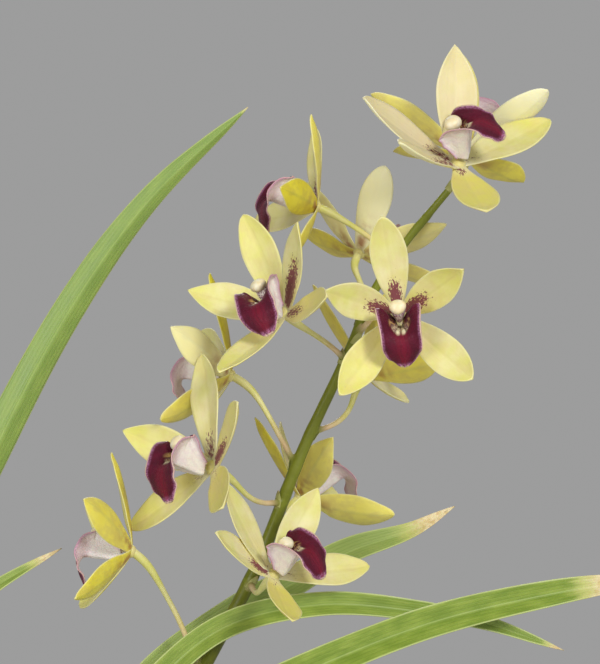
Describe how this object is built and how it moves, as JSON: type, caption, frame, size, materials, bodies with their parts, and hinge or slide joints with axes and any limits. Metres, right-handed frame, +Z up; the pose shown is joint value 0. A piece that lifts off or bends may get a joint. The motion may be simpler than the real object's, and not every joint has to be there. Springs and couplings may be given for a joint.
{
  "type": "potted orchid",
  "caption": "Potted boat orchid: a leaning flower stem of cream and yellow blooms with dark red lips above arching strap leaves, in a plain clay pot.",
  "frame": {"origin": "middle of the pot's flat resting face", "axes": "+Z up out of the pot, -Y towards the side the best bloom faces, +X the way the flower stem leans"},
  "size_m": [0.585, 0.464, 0.7416],
  "materials": {
    "clay": "matt unglazed clay",
    "bark": "loose bark chips, damp and rough",
    "bulb": "ribbed green skin, satin",
    "leaf": "leathery strap leaf, satin",
    "stem": "smooth fleshy stalk, satin",
    "sheath": "dry papery bract, matt",
    "tepal": "waxy cream and yellow petal, satin",
    "lip": "velvety dark red",
    "column": "waxy cream, satin"
  },
  "bodies": {
    "root": {"bloom_01_column": "column", "bloom_01_lip": "lip", "bloom_01_tepals": "tepal", "bloom_02_column": "column", "bloom_02_lip": "lip", "bloom_02_tepals": "tepal", "bloom_03_column": "column", "bloom_03_lip": "lip", "bloom_03_tepals": "tepal", "bloom_04_column": "column", "bloom_04_lip": "lip", "bloom_04_tepals": "tepal", "bloom_05_column": "column", "bloom_05_lip": "lip", "bloom_05_tepals": "tepal", "bloom_06_column": "column", "bloom_06_lip": "lip", "bloom_06_tepals": "tepal", "bloom_07_column": "column", "bloom_07_lip": "lip", "bloom_07_tepals": "tepal", "bloom_08_column": "column", "bloom_08_lip": "lip", "bloom_08_tepals": "tepal", "bloom_09_column": "column", "bloom_09_lip": "lip", "bloom_09_tepals": "tepal", "bloom_10_column": "column", "bloom_10_lip": "lip", "bloom_10_tepals": "tepal", "bloom_11_column": "column", "bloom_11_lip": "lip", "bloom_11_tepals": "tepal", "bloom_12_column": "column", "bloom_12_lip": "lip", "bloom_12_tepals": "tepal", "flower_stem": "stem", "growing_medium": "bark", "leaf_01": "leaf", "leaf_02": "leaf", "leaf_03": "leaf", "leaf_04": "leaf", "leaf_05": "leaf", "leaf_06": "leaf", "leaf_07": "leaf", "leaf_08": "leaf", "leaf_09": "leaf", "leaf_10": "leaf", "leaf_11": "leaf", "leaf_12": "leaf", "leaf_13": "leaf", "pot": "clay", "pseudobulb_1": "bulb", "pseudobulb_2": "bulb", "pseudobulb_3": "bulb", "pseudobulb_4": "bulb", "sheath_1": "sheath", "sheath_2": "sheath", "sheath_3": "sheath"}
  },
  "joints": []
}
